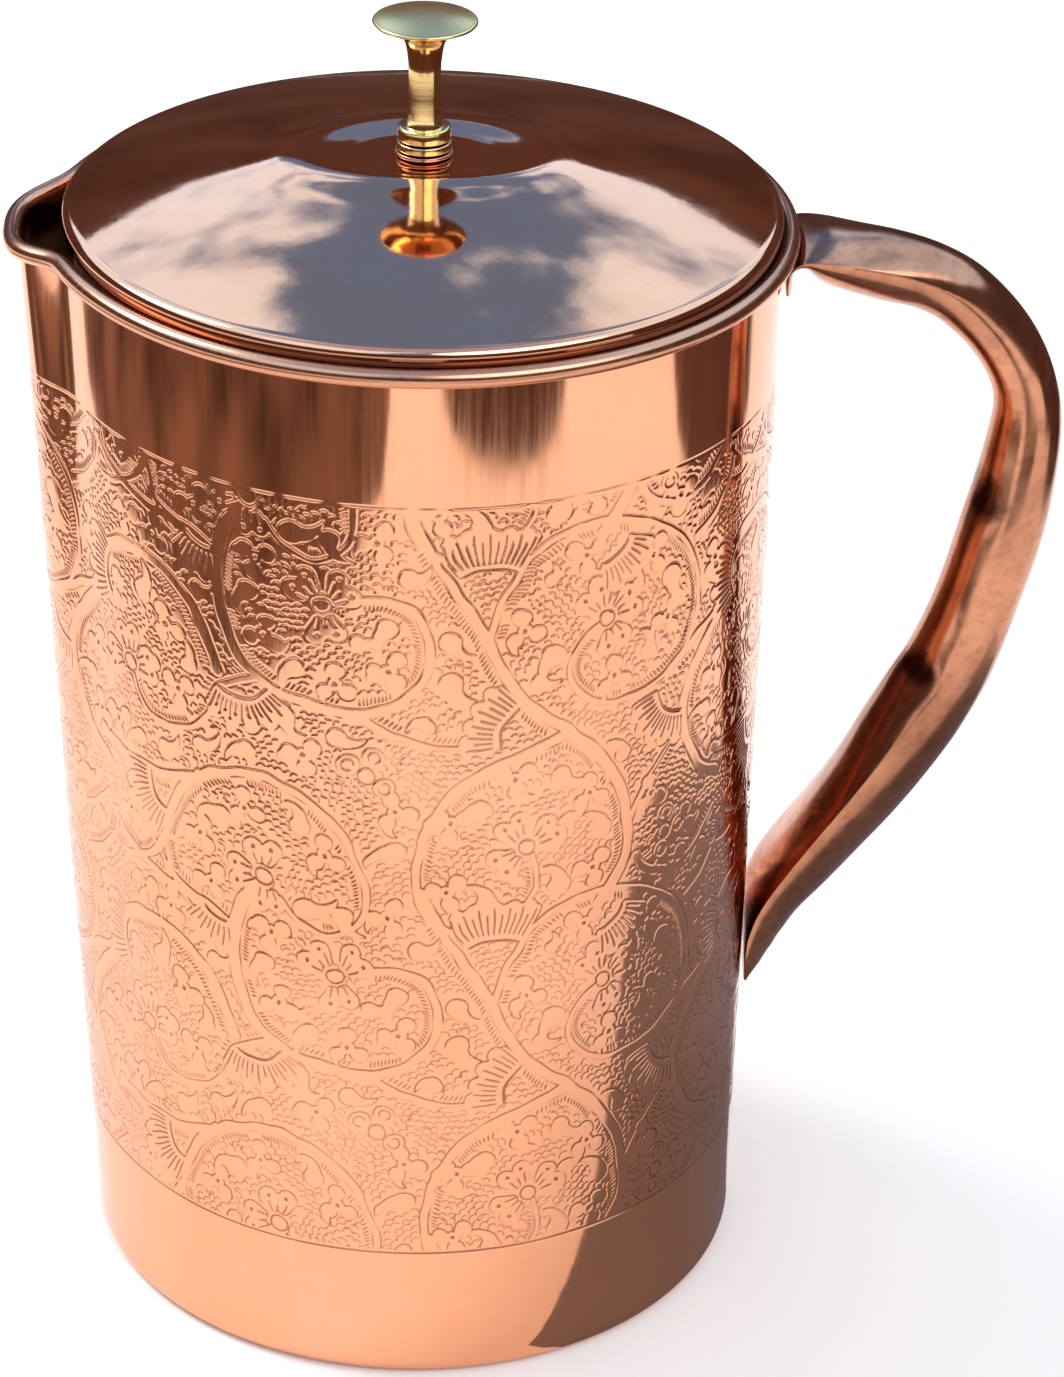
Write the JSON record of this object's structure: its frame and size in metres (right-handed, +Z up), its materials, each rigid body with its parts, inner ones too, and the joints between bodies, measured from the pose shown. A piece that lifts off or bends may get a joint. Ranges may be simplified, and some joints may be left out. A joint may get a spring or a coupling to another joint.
{
  "type": "copper water jug",
  "caption": "Tapered copper water jug with an engraved wall, drawn spout, bent tube handle and a lift-off domed lid with a brass knob.",
  "frame": {"origin": "on the jug's axis, at the middle of the base disc's underside, in the plane the jug stands on", "axes": "+Z up along the jug's axis; +X towards the handle; -X towards the spout"},
  "size_m": [0.1723, 0.1208, 0.2223],
  "materials": {
    "copper_wall": "polished copper sheet, chased all over between two plain bands",
    "copper_wire": "drawn copper wire",
    "copper_base": "satin copper sheet",
    "copper_tube": "polished copper tube",
    "steel_screw": "plain steel",
    "copper_lid": "mirror polished copper sheet",
    "copper_skirt": "satin copper sheet",
    "brass_knob": "turned and polished brass",
    "brass_collar": "turned brass",
    "copper_washer": "stamped copper",
    "brass_washer": "stamped brass"
  },
  "bodies": {
    "jug": {"body_wall": "copper_wall", "rim_wire": "copper_wire", "base_disc": "copper_base", "handle": "copper_tube"},
    "lid_fixing": {"knob_screw": "steel_screw"},
    "lid": {"lid_shell": "copper_lid", "lid_skirt": "copper_skirt", "knob": "brass_knob", "knob_collar": "brass_collar", "knob_washer": "copper_washer", "under_washer": "brass_washer"}
  },
  "joints": [
    {"name": "lid_lift", "type": "slide", "parent": "jug", "child": "lid_fixing", "axis": [0, 0, 1], "range_m": [0, 0.06]},
    {"name": "lid_turn", "type": "hinge", "parent": "lid_fixing", "child": "lid", "pos_m": [0, 0, 0.1869], "axis": [0, 0, 1], "continuous": true}
  ]
}
